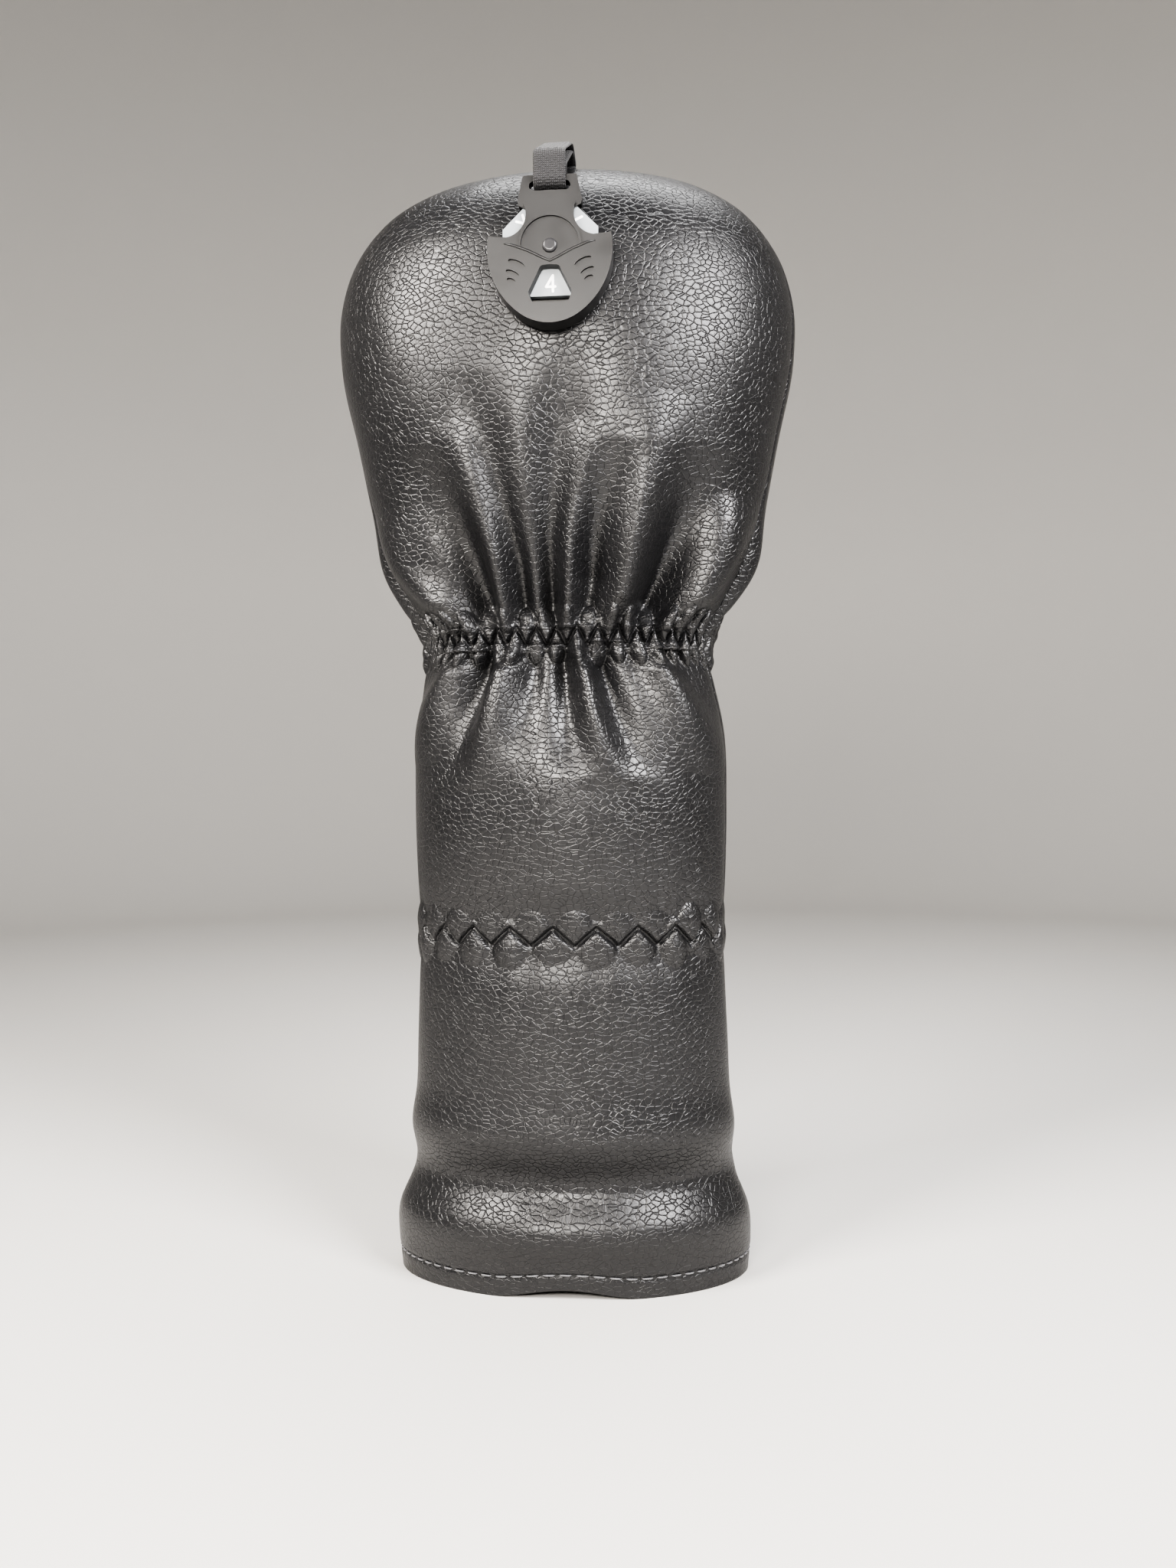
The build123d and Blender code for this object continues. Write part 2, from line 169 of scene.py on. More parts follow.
def outline(front, u, v):
    """Places x, y, z of a panel without its folds, its outward directions and its half widths."""
    z, half, ahead, behind = through(STATIONS, v).T
    power = 2.0 + SQUARENESS * np.clip((z - SQUARE_FROM_Z) / SQUARE_OVER, 0, 1)
    seam_y = SEAM_FOOT_Y + (SEAM_TOP_Y - SEAM_FOOT_Y) * z / CREST_Z
    share = np.where(seam_y < 0, np.clip(seam_y / ahead, -1, 0), seam_y / behind)
    lean = np.sign(share) * np.arcsin(np.abs(share) ** (power / 2))
    if front:
        angle = -math.pi - lean + u * (math.pi + 2 * lean)
    else:
        angle = math.pi - lean - u * (math.pi - 2 * lean)
    c, s = np.cos(angle), np.sin(angle)
    reach = np.where(s < 0, ahead, behind)
    x = half * np.sign(c) * np.abs(c) ** (2 / power)
    y = reach * np.sign(s) * np.abs(s) ** (2 / power)
    tilt = DOME_TILT * np.clip((z - DOME_FROM_Z) / DOME_OVER, 0, 1) ** 2
    out = np.stack([c / half, s / reach, tilt], 1)
    return x, y, z, out / np.linalg.norm(out, axis=1, keepdims=True), half


def front_folds(x, z):
    """How far the front panel's folds stand out at x and z."""
    lift = np.zeros_like(z)
    for points, depth, wide, narrow in FOLDS:
        line = np.array(sorted(points, key=lambda p: p[1]), float)
        low, high = line[0, 1], line[-1, 1]
        near_neck = low if abs(low - NECK_Z) < abs(high - NECK_Z) else high
        along = np.clip(np.abs(z - near_neck) / (high - low), 0, 1)
        width = narrow + (wide - narrow) * along
        fade = np.where((z > low - FOLD_PAST) & (z < high + FOLD_PAST), 1 - along**2, 0)
        fade *= np.clip(np.abs(z - NECK_Z) / FOLD_FADE, FOLD_LEAST, 1)
        lift += FOLD_GAIN * depth * fade * bump(x - np.interp(z, line[:, 1], line[:, 0]), width)
    return lift


def back_folds(u, z):
    """How far the back panel's folds stand out round the neck."""
    spread = np.clip(1 - np.abs(z - NECK_Z - BACK_FOLD_RISE) / BACK_FOLD_REACH, 0, 1) ** 1.5
    drift = 0.05 * np.sin((z - NECK_Z) / 30)
    return BACK_FOLD_DEPTH * spread * waves(u + drift, BACK_FOLD_COUNT, 21)


def gathered(u, z):
    """How far the puffs and pleats stand out at the two gathers, less the stitches' grooves."""
    lift = np.zeros_like(z)
    for middle, count, deep, puff, pitch, tall, least, pleat, reach, seed in GATHERS:
        away = z - zigzag(u, count, middle)
        lift += puff * puffs(u, z, count, middle, pitch, tall, least, seed)
        lift -= deep * bump(away, STITCH_GROOVE_WIDTH)
        near = np.exp(-np.abs(z - middle) / reach) * np.clip(np.abs(z - middle) / 3.5, 0.2, 1)
        lift += pleat * near * waves(u, count * 1.1, seed + 40)
    return lift


def form(front, u, v):
    """Points and outward directions of a panel at u from seam to seam and v from mouth to crest."""
    u, v = np.broadcast_arrays(u, v)
    shape = u.shape
    u, v = u.ravel(), v.ravel()
    x, y, z, out, half = outline(front, u, v)
    away_from_seams = np.clip(1 - np.abs(2 * u - 1) ** 10, 0, 1)
    from_seam = np.minimum(u, 1 - u) * math.pi * half
    swell = SWELL * np.sin(z / SWELL_HEIGHT + 3 * u) * waves(u, SWELL_WAVES, 9)
    lift = (front_folds(x, z) if front else back_folds(u, z)) + gathered(u, z)
    lift += swell * np.clip(z / SWELL_FROM_Z, 0, 1)
    if front:
        lift += sum(depth * bump(z - height, width) for height, depth, width in ROLLS)
    lift *= away_from_seams
    lift -= HEM_GROOVE * bump(z - HEM_STITCH_Z, HEM_GROOVE_WIDTH)
    if not front:
        beside = bump(from_seam - BACK_BULGE_INSET, BACK_BULGE_WIDTH)
        lift += BACK_BULGE * bump(z - BACK_BULGE_Z, BACK_BULGE_HALF) * beside
    below_top = np.clip(FRONT_TOP_Z + SEAM_FADE - z, 0, 1)
    lift -= SEAM_GROOVE * np.exp(-from_seam / SEAM_GROOVE_WIDTH) * below_top
    at = np.stack([x, y, z], 1) + out * lift[:, None]
    if front:
        arch = np.clip(1 - (x / ARCH_HALF) ** 2, 0, 1) ** 2 * ARCH_HEIGHT
        at[:, 2] += arch * np.clip(1 - z / ARCH_TOP_Z, 0, 1) ** 2
    return at.reshape(*shape, 3), out.reshape(*shape, 3)


def rows_between(v_low, v_high, count):
    """Places of count rows from v_low to v_high, closer together at the gathers and the hem."""
    v = np.linspace(v_low, v_high, 4000)
    z = through(STATIONS, v)[:, 0]
    crowd = 1 + 3.2 * bump(z - NECK_Z, 13) + 2.6 * bump(z - LOWER_Z, 10) + 2.0 * bump(z - HEM_STITCH_Z, 6)
    total = np.r_[0, np.cumsum((crowd[1:] + crowd[:-1]) / 2)]
    return np.interp(np.linspace(0, total[-1], count), total, v)


# ---- mesh helpers -----------------------------------------------------------------------------
def mesh_object(name, points, faces, mat, body="cover"):
    """A mesh in metres from points in millimetres, riding on a body."""
    mesh = bpy.data.meshes.new(name)
    mesh.from_pydata((np.asarray(points) * MM).tolist(), [], faces)
    mesh.validate()
    mesh.polygons.foreach_set("use_smooth", [True] * len(mesh.polygons))
    mesh.materials.append(mat)
    piece = bpy.data.objects.new(name, mesh)
    bpy.context.scene.collection.objects.link(piece)
    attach(piece, body)
    return piece


def grid_faces(rows, columns, start=0, flip=False, closed=False):
    """Quads of a grid of rows by columns."""
    faces = []
    for r in range(rows - 1):
        for c in range(columns if closed else columns - 1):
            d = (c + 1) % columns
            quad = [start + r * columns + c, start + r * columns + d,
                    start + (r + 1) * columns + d, start + (r + 1) * columns + c]
            faces.append(quad[::-1] if flip else quad)
    return faces


def shell(name, front, insets, v_ends, grid, mat):
    """A closed layer of one panel between two insets from the leather's face."""
    (outer, inner), (columns, rows) = insets, grid
    u = np.linspace(0, 1, columns)[None, :]
    v = rows_between(*v_ends, rows)[:, None]
    at, out = form(front, u, v)
    faces_out = (at - out * outer).reshape(-1, 3)
    faces_in = (at - out * inner).reshape(-1, 3)
    count = rows * columns
    faces = grid_faces(rows, columns, 0, not front) + grid_faces(rows, columns, count, front)
    rim = ([c for c in range(columns)] + [r * columns + columns - 1 for r in range(1, rows)]
           + [(rows - 1) * columns + c for c in range(columns - 2, -1, -1)]
           + [r * columns for r in range(rows - 2, 0, -1)])
    for a, b in zip(rim, rim[1:] + rim[:1]):
        quad = [a, a + count, b + count, b]
        faces.append(quad if front else quad[::-1])
    return mesh_object(name, np.vstack([faces_out, faces_in]), faces, mat)


def band(name, insets, z_ends, grid, mat):
    """A closed ring between two insets from the leather's face."""
    (outer, inner), (columns, rows) = insets, grid
    v_of = np.linspace(0, 1, 2000)
    heights = through(STATIONS, v_of)[:, 0]
    v = np.interp(np.linspace(*z_ends, rows), heights, v_of)[:, None]
    u = np.linspace(0, 1, columns, endpoint=False)[None, :]
    a, na = form(True, u, v)
    b, nb = form(False, 1 - u, v)
    at, out = np.concatenate([a, b], 1), np.concatenate([na, nb], 1)
    count, wide = at.shape[0] * at.shape[1], at.shape[1]
    points = np.vstack([(at - out * outer).reshape(-1, 3), (at - out * inner).reshape(-1, 3)])
    faces = grid_faces(rows, wide, 0, False, True) + grid_faces(rows, wide, count, True, True)
    for row, turn in ((0, True), (rows - 1, False)):
        for c in range(wide):
            p, q = row * wide + c, row * wide + (c + 1) % wide
            quad = [p, q, q + count, p + count]
            faces.append(quad[::-1] if turn else quad)
    return mesh_object(name, points, faces, mat)


def tube(points, radius, sides=6, end_share=0.45):
    """Points and faces of a thread along points, thinner at its two ends."""
    points = np.asarray(points, float)
    along = np.gradient(points, axis=0)
    along /= np.linalg.norm(along, axis=1, keepdims=True)
    side = np.cross(along, (0.13, 0.31, 0.94))
    side /= np.linalg.norm(side, axis=1, keepdims=True)
    up = np.cross(along, side)
    turn = np.linspace(0, 2 * math.pi, sides, endpoint=False)
    girth = np.full(len(points), radius)
    girth[[0, -1]] *= end_share
    ring = points[:, None] + girth[:, None, None] * (
        np.cos(turn)[None, :, None] * side[:, None] + np.sin(turn)[None, :, None] * up[:, None])
    count = len(points)
    faces = grid_faces(count, sides, 0, False, True)
    faces += [list(range(sides))[::-1], [(count - 1) * sides + k for k in range(sides)]]
    return ring.reshape(-1, 3), faces


def threads(name, runs, radius, mat):
    """One piece made of many short threads."""
    points, faces, start = [], [], 0
    for run in runs:
        ring, quads = tube(run, radius)
        points.append(ring)
        faces += [[start + k for k in q] for q in quads]
        start += len(ring)
    return mesh_object(name, np.vstack(points), faces, mat)


# ---- materials ----------------------------------------------------------------------------------
def material(name, color, roughness, sheen=0.0, coat=0.0, specular=0.5):
    """A new material, its node tree and its shader."""
    made = bpy.data.materials.new(name)
    made.use_nodes = True
    shader = made.node_tree.nodes["Principled BSDF"]
    shader.inputs["Base Color"].default_value = (*color, 1)
    shader.inputs["Roughness"].default_value = roughness
    shader.inputs["Sheen Weight"].default_value = sheen
    shader.inputs["Coat Weight"].default_value = coat
    shader.inputs["Specular IOR Level"].default_value = specular
    return made, made.node_tree, shader


def node(tree, kind, **values):
    """A new node whose inputs or settings have the given values."""
    made = tree.nodes.new(kind)
    for key, value in values.items():
        if key in made.inputs:
            made.inputs[key].default_value = value
        else:
            setattr(made, key, value)
    return made


def grey(value):
    return (value, value, value)


def ramp(tree, source, stops):
    """A colour ramp on source with stops of (position, colour)."""
    made = tree.nodes.new("ShaderNodeValToRGB")
    for element, (position, color) in zip(made.color_ramp.elements, (stops[0], stops[-1])):
        element.position = position
        element.color = (*color, 1)
    for position, color in stops[1:-1]:
        made.color_ramp.elements.new(position).color = (*color, 1)
    tree.links.new(source, made.inputs[0])
    return made


def pebble_leather(name, color, cell=2.1, depth=0.13, roughness=0.3):
    """Leather with flat pebbles, cell mm across, divided by fine creases depth mm deep."""
    squash, drift_scale, drift_reach = 1.35, 260.0, 0.0011
    second_cell, second_share = 0.52, 0.1
    crease = [(0.0, grey(0)), (0.04, grey(0.5)), (0.11, grey(0.88)), (0.34, grey(1))]
    made, tree, shader = material(name, color, roughness, specular=0.55)
    link = tree.links.new
    place = node(tree, "ShaderNodeTexCoord")
    squeeze = node(tree, "ShaderNodeMapping")
    squeeze.inputs["Scale"].default_value = (1.0, 1.0, squash)
    link(place.outputs["Object"], squeeze.inputs["Vector"])
    drift = node(tree, "ShaderNodeTexNoise", Scale=drift_scale, Detail=3.0)
    link(squeeze.outputs[0], drift.inputs["Vector"])
    shift = node(tree, "ShaderNodeVectorMath", operation="SCALE")
    shift.inputs["Scale"].default_value = drift_reach
    link(drift.outputs["Color"], shift.inputs[0])
    bent = node(tree, "ShaderNodeVectorMath", operation="ADD")
    link(squeeze.outputs[0], bent.inputs[0])
    link(shift.outputs[0], bent.inputs[1])
    heights = []
    for size in (cell, cell * second_cell):
        cells = node(tree, "ShaderNodeTexVoronoi", Scale=1 / (size * MM))
        cells.feature = "DISTANCE_TO_EDGE"
        link(bent.outputs[0], cells.inputs["Vector"])
        heights.append(ramp(tree, cells.outputs["Distance"], crease))
    fine = node(tree, "ShaderNodeMix", data_type="RGBA")
    fine.inputs[0].default_value = second_share
    link(heights[0].outputs[0], fine.inputs[6])
    link(heights[1].outputs[0], fine.inputs[7])
    raised = node(tree, "ShaderNodeBump", Strength=1.0, Distance=depth * MM)
    link(fine.outputs[2], raised.inputs["Height"])
    link(raised.outputs[0], shader.inputs["Normal"])
    worn = node(tree, "ShaderNodeTexNoise", Scale=32.0, Detail=5.0)
    link(place.outputs["Object"], worn.inputs["Vector"])
    gloss = ramp(tree, worn.outputs["Fac"], [(0.3, grey(roughness - 0.05)), (0.7, grey(roughness + 0.08))])
    link(gloss.outputs[0], shader.inputs["Roughness"])
    # Painted shade: the base colour falls to 0.35 of the leather's colour in the fine creases between
    # pebbles, where shade falls.
    painted_groove_shade = ramp(tree, fine.outputs[2], [(0.0, tuple(0.35 * c for c in color)), (0.55, color)])
    link(painted_groove_shade.outputs[0], shader.inputs["Base Color"])
    return made


def woven(name, color, thread, depth, sheen=0.2, roughness=0.75):
    """Woven or brushed cloth: crossed waves of threads, thread mm apart, with a little sheen."""
    wave_scale = 2 / (6.283 * thread * MM)
    made, tree, shader = material(name, color, roughness, sheen=sheen, specular=0.3)
    link = tree.links.new
    place = node(tree, "ShaderNodeTexCoord")
    total = None
    for direction in ("X", "Z"):
        ribs = node(tree, "ShaderNodeTexWave", Scale=wave_scale, Distortion=0.6)
        ribs.bands_direction = direction
        link(place.outputs["Object"], ribs.inputs["Vector"])
        if total is None:
            total = ribs.outputs["Fac"]
        else:
            both = node(tree, "ShaderNodeMath", operation="MULTIPLY")
            link(total, both.inputs[0])
            link(ribs.outputs["Fac"], both.inputs[1])
            total = both.outputs[0]
    raised = node(tree, "ShaderNodeBump", Strength=0.9, Distance=depth * MM)
    link(total, raised.inputs["Height"])
    link(raised.outputs[0], shader.inputs["Normal"])
    # Painted shade and painted highlight: the base colour darkens in the hollows between threads and
    # brightens on their crowns, following the weave's relief.
    painted_groove_shade = ramp(tree, total, [(0.0, tuple(0.45 * c for c in color)), (0.7, tuple(1.25 * c for c in color))])
    link(painted_groove_shade.outputs[0], shader.inputs["Base Color"])
    return made


def moulded(name, color, roughness, speck=0.02, coat=0.0):
    """Moulded plastic with a very fine spark-eroded texture."""
    made, tree, shader = material(name, color, roughness, coat=coat)
    link = tree.links.new
    place = node(tree, "ShaderNodeTexCoord")
    grain = node(tree, "ShaderNodeTexNoise", Scale=5200.0, Detail=2.0)
    link(place.outputs["Object"], grain.inputs["Vector"])
    raised = node(tree, "ShaderNodeBump", Strength=0.5, Distance=speck * MM)
    link(grain.outputs["Fac"], raised.inputs["Height"])
    link(raised.outputs[0], shader.inputs["Normal"])
    smudge = node(tree, "ShaderNodeTexNoise", Scale=120.0, Detail=4.0)
    link(place.outputs["Object"], smudge.inputs["Vector"])
    gloss = ramp(tree, smudge.outputs["Fac"], [(0.3, grey(roughness - 0.05)), (0.7, grey(roughness + 0.07))])
    link(gloss.outputs[0], shader.inputs["Roughness"])
    return made


leather = pebble_leather("black_leather", (0.011, 0.011, 0.012))
facing_leather = pebble_leather("facing_leather", (0.02, 0.02, 0.022), roughness=0.5)
foam_mat = woven("padding_foam", (0.3, 0.3, 0.31), 0.9, 0.15)
lining_mat = woven("blue_grey_lining", (0.13, 0.17, 0.23), 0.7, 0.3, sheen=0.5, roughness=0.9)
elastic_mat = woven("black_elastic", (0.03, 0.03, 0.03), 1.1, 0.25)
black_thread = woven("black_thread", (0.02, 0.02, 0.021), 0.35, 0.08)
grey_thread = woven("grey_thread", (0.2, 0.2, 0.21), 0.35, 0.08)
webbing_mat = woven("black_webbing", (0.028, 0.028, 0.03), 0.62, 0.22, sheen=0.15, roughness=0.62)
tag_mat = moulded("tag_plastic", (0.011, 0.011, 0.0115), 0.38)
axle_mat = moulded("axle_plastic", (0.035, 0.035, 0.037), 0.26)
dial_mat = moulded("dial_plastic", (0.3, 0.32, 0.335), 0.2, coat=0.4)
ink_mat = moulded("numeral_ink", (0.9, 0.9, 0.9), 0.4)

# ---- leather, padding and lining ------------------------------------------------------------------
LEATHER, PADDING, LINING = (0.0, LEATHER_THICK), (1.5, 2.7), (2.8, 4.6)
LEATHER_GRID = ((320, 560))
PADDING_GRID, LINING_GRID, BAND_GRID = (90, 80), (110, 190), (160, 14)
PADDING_V, LINING_LOW, LINING_HIGH, BACK_TOP = (0.56, 0.93), 0.018, 0.985, 0.9995
LINING_BELOW_TOP = 4.0
v_table = np.linspace(0, 1, 4000)
z_table = through(STATIONS, v_table)[:, 0]
front_top, lining_top = np.interp((FRONT_TOP_Z, FRONT_TOP_Z - LINING_BELOW_TOP), z_table, v_table)
lining_v, back_lining_v = (LINING_LOW, lining_top), (LINING_LOW, LINING_HIGH)
layers = [
    ("leather_front", True, LEATHER, (0.0, front_top), LEATHER_GRID, leather, "front_panel", "leather"),
    ("leather_back", False, LEATHER, (0.0, BACK_TOP), LEATHER_GRID, leather, "back_panel", "leather"),
    ("padding_front", True, PADDING, PADDING_V, PADDING_GRID, foam_mat, "head_foam_front", "foam"),
    ("padding_back", False, PADDING, PADDING_V, PADDING_GRID, foam_mat, "head_foam_back", "foam"),
    ("inner_lining_front", True, LINING, lining_v, LINING_GRID, lining_mat, "lining_front", "lining"),
    ("inner_lining_back", False, LINING, back_lining_v, LINING_GRID, lining_mat, "lining_back", "lining"),
]
for name, front, insets, v_ends, grid, mat, stands_for, slot in layers:
    piece = shell(name, front, insets, v_ends, grid, mat)
    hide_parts(stands_for)

for name, z_ends, mat, stands_for, slot in (
    ("gathered_neck_elastic", (199.0, 209.0), elastic_mat, "neck_elastic", "elastic"),
    ("gathered_lower_elastic", (105.5, 114.5), elastic_mat, "lower_elastic", "elastic"),
    ("turned_hem_facing", (0.3, 12.0), facing_leather, "hem_facing", "facing"),
):
    piece = band(name, PADDING, z_ends, BAND_GRID, mat)
    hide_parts(stands_for)

# ---- stitches ---------------------------------------------------------------------------------------
def on_leather(front, u, z, proud):
    """Points standing proud of a panel's face at u and height z."""
    at, out = form(front, u, np.interp(z, z_table, v_table))
    return at + out * np.reshape(proud, (-1, 1))


def dipping(samples, proud, dip):
    """Heights along a thread that is proud in its middle and dips into the leather at its ends."""
    return proud - dip * np.abs(np.linspace(-1, 1, samples)) ** 4


def zigzag_runs(count, middle, samples=7, gap=0.08, least_u=0.004):
    """One thread for each leg of the zigzag, except those that would cross a seam."""
    runs = []
    for front in (True, False):
        corners = (np.arange(2 * count + 1) - 0.5) / (2 * count)
        for a, b in zip(corners[:-1], corners[1:]):
            u = np.linspace(a + gap * (b - a), b - gap * (b - a), samples)
            if u.min() < least_u or u.max() > 1 - least_u:
                continue
            runs.append(on_leather(front, u, zigzag(u, count, middle), dipping(samples, 0.24, 0.4)))
    return runs


def hem_runs(pitch=3.9, length=2.9, samples=6, mean_radius=46):
    """Threads of the topstitching round the hem."""
    runs = []
    for front in (True, False):
        steps = int(math.pi * mean_radius / pitch)
        for k in range(steps):
            u = (k + 0.5 + np.linspace(-0.5, 0.5, samples) * length / pitch) / steps
            heights = np.full(samples, HEM_STITCH_Z)
            runs.append(on_leather(front, u, heights, dipping(samples, 0.3, 0.42)))
    return runs


def seam_runs(pitch=5.0, length=3.2, foot=6.0, sunk=-0.9):
    """Threads along both sides of the seam, from above the hem to beside the strap."""
    runs = []
    heights = np.interp(np.linspace(0, front_top, 6000), v_table, z_table)
    heights = heights[heights > foot]
    for u_edge in (0.0, 1.0):
        edge = np.full(len(heights), u_edge)
        seam = (on_leather(True, edge, heights, sunk) + on_leather(False, edge, heights, sunk)) / 2
        steps = np.r_[0, np.cumsum(np.linalg.norm(np.diff(seam, axis=0), axis=1))]
        for start in np.arange(0, steps[-1] - pitch, pitch):
            at = np.linspace(start, start + length, 4)
            runs.append(np.stack([np.interp(at, steps, seam[:, k]) for k in range(3)], 1))
    return runs


FINE_THREAD, HEM_THREAD = 0.28, 0.3
neck_runs, lower_runs = zigzag_runs(NECK_WAVES, NECK_Z), zigzag_runs(LOWER_WAVES, LOWER_Z)
for name, runs, radius, mat, stands_for, slot in (
    ("neck_zigzag_thread", neck_runs, FINE_THREAD, black_thread, "neck_zigzag_stitching", "thread"),
    ("lower_zigzag_thread", lower_runs, FINE_THREAD, black_thread, "lower_zigzag_stitching", "thread"),
    ("hem_topstitch_thread", hem_runs(), HEM_THREAD, grey_thread, "hem_stitching", "topstitch"),
    ("seam_thread", seam_runs(), FINE_THREAD, black_thread, "side_seam_stitching", "thread"),
):
    piece = threads(name, runs, radius, mat)
    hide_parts(stands_for)

# ---- webbing: one strap, folded into the loop that holds the tag --------------------------------------
STRAP_THICK, STRAP_LAYER = 1.1, 0.675
STRAP_HALF_ROOM, STRAP_SIDE_ROOM, STRAP_WRAP = 0.6, 0.1, 2.45
STRAP_FRONT_REACH, STRAP_BACK_REACH, STRAP_FRONT_RISE, STRAP_BACK_RISE = 11.0, 9.0, 7.5, 6.0
CREST_BEND_OUTER, CREST_BEND_INNER, LEG_BEND, BAR_BEND = 14.0, 12.0, 4.0, STRAP_WRAP - 0.01
RIB_PITCH, RIB_DEPTH, RIB_ROWS, STRAP_COLUMNS, RIB_COLUMNS = 0.85, 0.1, 8, 25, 3
SELVEDGE_THINNING, SELVEDGE_POWER, ARC_POINTS = 0.75, 8, 16
tail_low, tail_high = (np.array(corner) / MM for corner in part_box("webbing_tail"))
loop_low, loop_high = (np.array(corner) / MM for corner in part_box("webbing_loop"))
strap_width = loop_high[0] - loop_low[0] - 2 * STRAP_SIDE_ROOM
seam_y = (tail_low[1] + tail_high[1]) / 2
hinge_z = loop_high[2] - STRAP_HALF_ROOM - STRAP_LAYER
front_y = loop_low[1] + STRAP_HALF_ROOM
back_y = front_y + 2 * STRAP_WRAP
wrap_z = loop_low[2] + STRAP_HALF_ROOM
bar_z = wrap_z + STRAP_WRAP


def rounded(points, radii):
    """Points along a line in (y, z) whose corners are arcs of the given radii."""
    points = [np.array(p, float) for p in points]
    line = [points[0]]
    for before, corner, after, radius in zip(points, points[1:], points[2:], radii):
        a = (before - corner) / np.linalg.norm(before - corner)
        b = (after - corner) / np.linalg.norm(after - corner)
        half = math.acos(a @ b) / 2
        centre = corner + (a + b) / np.linalg.norm(a + b) * radius / math.sin(half)
        reach = radius / math.tan(half)
        start, end = corner + a * reach - centre, corner + b * reach - centre
        for t in np.linspace(0, 1, ARC_POINTS):
            spoke = start * (1 - t) + end * t
            line.append(centre + spoke * radius / np.linalg.norm(spoke))
    return np.array(line + [points[-1]])


def strap(line, closed, first=0):
    """Points and faces, numbered from first, of ribbed webbing along a line in (y, z)."""
    steps = np.r_[0, np.cumsum(np.linalg.norm(np.diff(line, axis=0), axis=1))]
    ribs = max(2, round(steps[-1] / RIB_PITCH))
    rows = ribs * RIB_ROWS
    at = np.linspace(0, steps[-1], rows, endpoint=not closed)
    ahead, behind = at + RIB_PITCH / 8, at - RIB_PITCH / 8
    if closed:
        ahead, behind = ahead % steps[-1], behind % steps[-1]
    middle = np.stack([np.interp(at, steps, line[:, k]) for k in (0, 1)], 1)
    run = np.stack([np.interp(ahead, steps, line[:, k]) for k in (0, 1)], 1)
    run -= np.stack([np.interp(behind, steps, line[:, k]) for k in (0, 1)], 1)
    run /= np.linalg.norm(run, axis=1, keepdims=True)
    out = np.stack([-run[:, 1], run[:, 0]], 1)
    across = np.linspace(-1, 1, STRAP_COLUMNS)
    edge = (1 - np.abs(across) ** SELVEDGE_POWER * SELVEDGE_THINNING)[None, :]
    half_step = 0.5 * (np.arange(STRAP_COLUMNS) // RIB_COLUMNS % 2)
    weave = 0.5 - 0.5 * np.cos(2 * math.pi * (at[:, None] / steps[-1] * ribs + half_step))
    thick = STRAP_THICK / 2 * edge - RIB_DEPTH * weave
    sides = []
    for side in (1, -1):
        x = np.broadcast_to(side * across * strap_width / 2, thick.shape)
        yz = middle[:, None] + side * out[:, None] * thick[..., None]
        sides.append(np.concatenate([x[..., None], yz], 2))
    ring = np.concatenate(sides, 1)
    count = 2 * STRAP_COLUMNS
    faces = grid_faces(rows, count, first, False, True)
    if closed:
        last = first + (rows - 1) * count
        turns = [(c, (c + 1) % count) for c in range(count)]
        faces += [[last + c, last + d, first + d, first + c] for c, d in turns]
    else:
        start_ring = [first + c for c in range(count)]
        faces += [start_ring[::-1], [(rows - 1) * count + c for c in start_ring]]
    return ring.reshape(-1, 3), faces


knuckle = [(seam_y + STRAP_LAYER * math.sin(t), hinge_z + STRAP_LAYER * math.cos(t))
           for t in np.linspace(0, math.pi, 12)]
loop_line = rounded(
    [(seam_y, hinge_z + STRAP_LAYER), (seam_y - STRAP_FRONT_REACH, hinge_z + STRAP_LAYER),
     (front_y, bar_z + STRAP_FRONT_RISE), (front_y, wrap_z),
     (back_y, wrap_z), (back_y, bar_z + STRAP_BACK_RISE),
     (seam_y - STRAP_BACK_REACH, hinge_z - STRAP_LAYER), (seam_y, hinge_z - STRAP_LAYER)],
    [CREST_BEND_OUTER, LEG_BEND, BAR_BEND, BAR_BEND, LEG_BEND, CREST_BEND_INNER])
points, faces = strap(np.vstack([loop_line, knuckle[::-1]]), True)
piece = mesh_object("webbing_strap_loop", points, faces, webbing_mat, "loop")
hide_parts("webbing_loop")

tail_points, tail_faces = [], []
for side in (-1, 1):
    layer_y = seam_y + side * STRAP_LAYER
    line = np.array([(layer_y, tail_low[2]), (layer_y, tail_high[2])])
    points, faces = strap(line, False, sum(len(p) for p in tail_points))
    tail_points.append(points)
    tail_faces += faces
piece = mesh_object("webbing_strap_ends", np.vstack(tail_points), tail_faces, webbing_mat)
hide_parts("webbing_tail")

# ---- carried-over CAD nodes ---------------------------------------------------------------------------
for name, mat, bevel in (
    ("loop_bar_tack", black_thread, 0),
    ("tag_front_shell", tag_mat, 0.32), ("tag_back_shell", tag_mat, 0.3), ("dial_axle", axle_mat, 0),
    ("number_dial", dial_mat, 0.2), ("dial_numerals", ink_mat, 0),
):
    piece = frame["nodes"][name]
    piece.data.materials.clear()
    piece.data.materials.append(mat)
    if bevel:
        edge = piece.modifiers.new("softened_edges", "BEVEL")
        edge.width = bevel * MM
        edge.segments = 3
        edge.limit_method = "ANGLE"
        edge.angle_limit = math.radians(35)
        edge.harden_normals = False

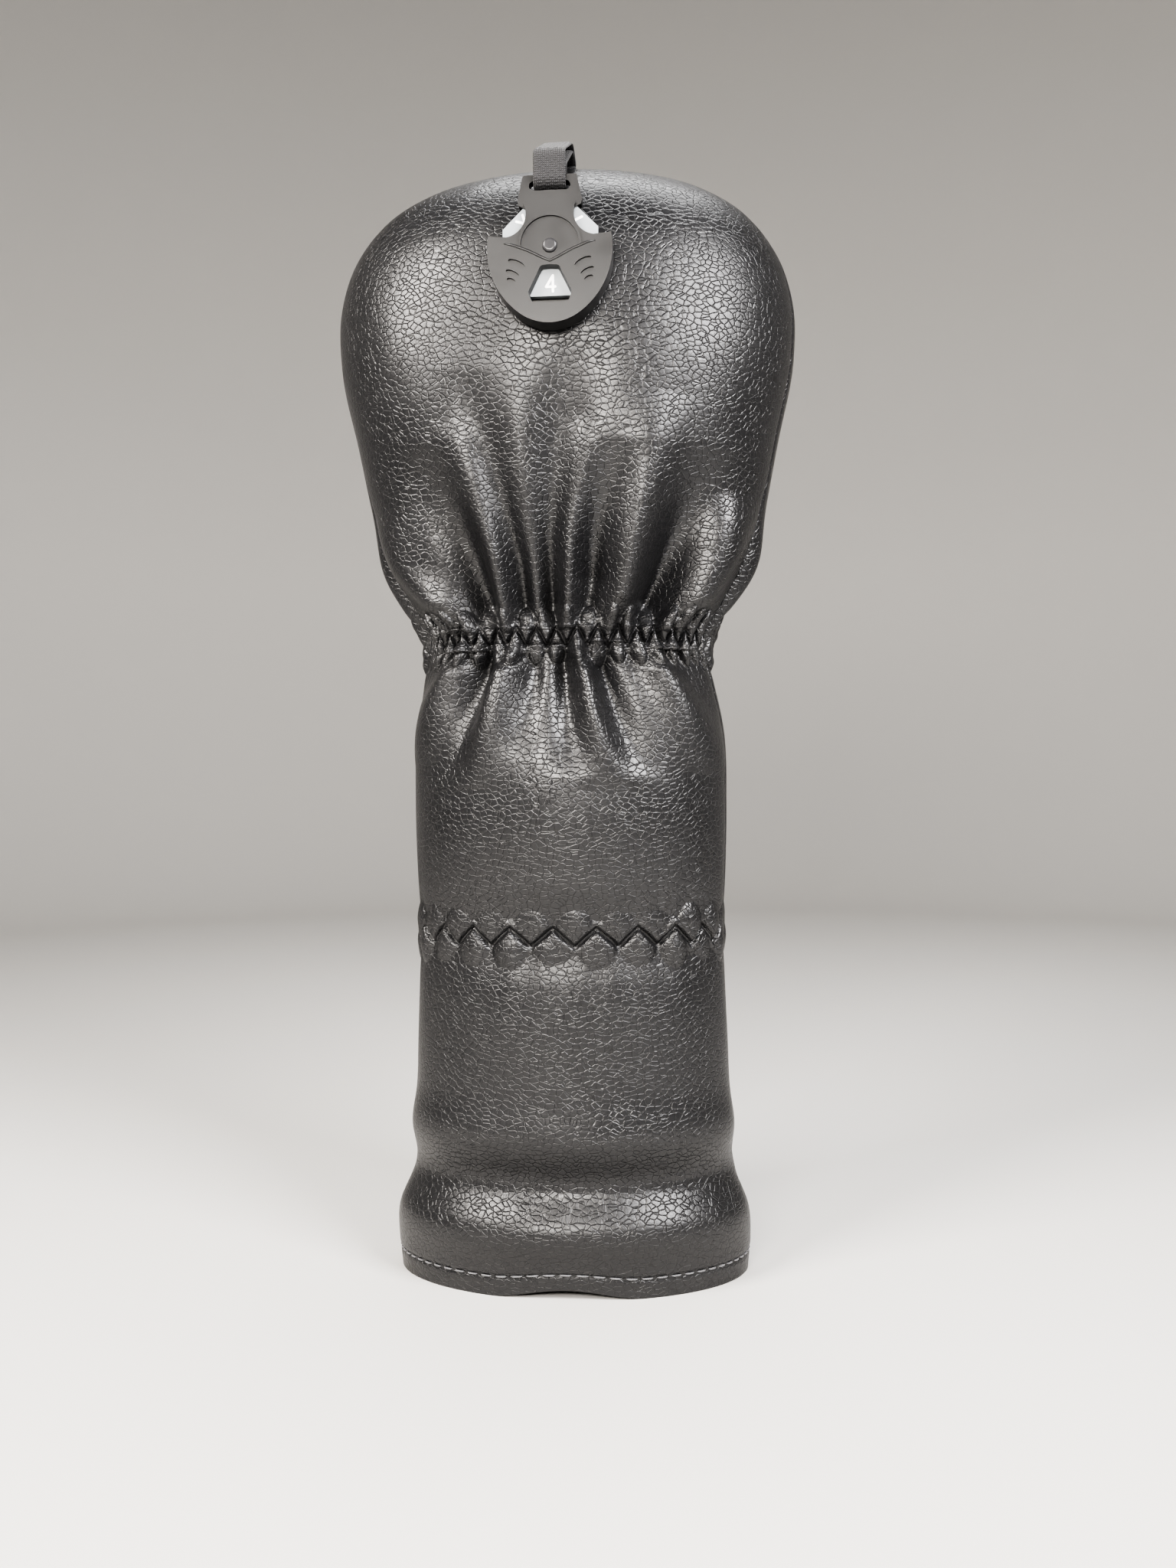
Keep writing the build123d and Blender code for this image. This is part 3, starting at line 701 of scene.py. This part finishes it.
# The lip of the tag's raised field, which dips to a point below the axle.
axle_z = next(j for j in frame["joints"] if j["name"] == "dial_spin")["pos_m"][2] / MM
LIP_RADIUS, LIP_SUNK, LIP_SIDES = 0.42, 0.1, 10
tag_front_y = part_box("tag_front_shell")[0][1] / MM
lip_side = [(13.2, 0.6), (10.8, 0.2), (8.8, -0.6), (6.5, -1.5), (4.5, -2.5), (2.2, -3.7), (0, -4.7)]
lip_path = lip_side + [(-x, y) for x, y in lip_side[-2::-1]]
lip_line = [(x, tag_front_y + LIP_SUNK, axle_z + y) for x, y in lip_path]
lip_points, lip_faces = tube(lip_line, LIP_RADIUS, LIP_SIDES)
lip = mesh_object("tag_brow_lip", lip_points, lip_faces, tag_mat, "tag")

# ---- floor, light and camera -------------------------------------------------------------------------
def backdrop(flat=1.1, cove=0.5, top=3.0, sectors=64):
    """A pale round floor, in metres, that curves up into a wall all the way round."""
    turn = np.linspace(0, math.pi / 2, 16)
    profile = [(flat + cove * math.sin(t), cove - cove * math.cos(t)) for t in turn] + [(flat + cove, top)]
    points = [(r * math.cos(a), r * math.sin(a), z) for r, z in profile
              for a in np.linspace(0, 2 * math.pi, sectors, endpoint=False)]
    mat, _, _ = material("pale_floor", (0.62, 0.61, 0.59), 0.7)
    mesh = bpy.data.meshes.new("floor")
    faces = [list(range(sectors))] + grid_faces(len(profile), sectors, flip=True, closed=True)
    mesh.from_pydata(points, [], faces)
    mesh.polygons.foreach_set("use_smooth", [True] * len(mesh.polygons))
    mesh.materials.append(mat)
    floor = bpy.data.objects.new("floor", mesh)
    bpy.context.scene.collection.objects.link(floor)


def area_light(name, place, aim, size, power, color=(1, 1, 1)):
    """A soft box at place, in metres, that faces aim."""
    lamp = bpy.data.lights.new(name, "AREA")
    lamp.shape = "RECTANGLE"
    lamp.size, lamp.size_y = size
    lamp.energy = power
    lamp.color = color
    holder = bpy.data.objects.new(name, lamp)
    holder.location = place
    holder.rotation_euler = (Vector(aim) - Vector(place)).to_track_quat("-Z", "Y").to_euler()
    bpy.context.scene.collection.objects.link(holder)


backdrop()
area_light("key", (-0.07, -0.64, 0.38), (0, 0, 0.12), (0.3, 0.12), 5.5, (1, 0.95, 0.89))
area_light("left_box", (-0.46, -0.40, 0.60), (0, 0, 0.26), (0.26, 0.3), 9, (1, 0.95, 0.9))
area_light("right_box", (0.45, -0.42, 0.56), (0, 0, 0.26), (0.3, 0.34), 10, (0.99, 0.97, 0.97))
area_light("top", (0.05, 0.25, 1.1), (0, 0, 0.3), (0.6, 0.4), 4)
world = bpy.data.worlds.new("studio")
world.use_nodes = True
world.node_tree.nodes["Background"].inputs[0].default_value = (0.8, 0.82, 0.85, 1)
world.node_tree.nodes["Background"].inputs[1].default_value = 0.12
bpy.context.scene.world = world
bpy.context.scene.view_settings.look = "AgX - High Contrast"

CAMERA_DISTANCE, CAMERA_HEIGHT, LENS, SENSOR_WIDTH = 0.391, 0.158, 27.04, 36.0
AZIMUTH, AIM_RIGHT, ROLL = math.radians(5.0), math.radians(0.86), math.radians(0.5)
camera = bpy.data.objects.new("camera", bpy.data.cameras.new("camera"))
camera.data.lens = LENS
camera.data.sensor_width = SENSOR_WIDTH
camera.data.clip_start = 0.01
eye = (CAMERA_DISTANCE * math.sin(AZIMUTH), -CAMERA_DISTANCE * math.cos(AZIMUTH), CAMERA_HEIGHT)
camera.matrix_world = (Matrix.Translation(eye) @ Matrix.Rotation(AZIMUTH - AIM_RIGHT, 4, "Z")
                       @ Matrix.Rotation(math.pi / 2, 4, "X") @ Matrix.Rotation(-ROLL, 4, "Z"))
bpy.context.scene.collection.objects.link(camera)
bpy.context.scene.camera = camera
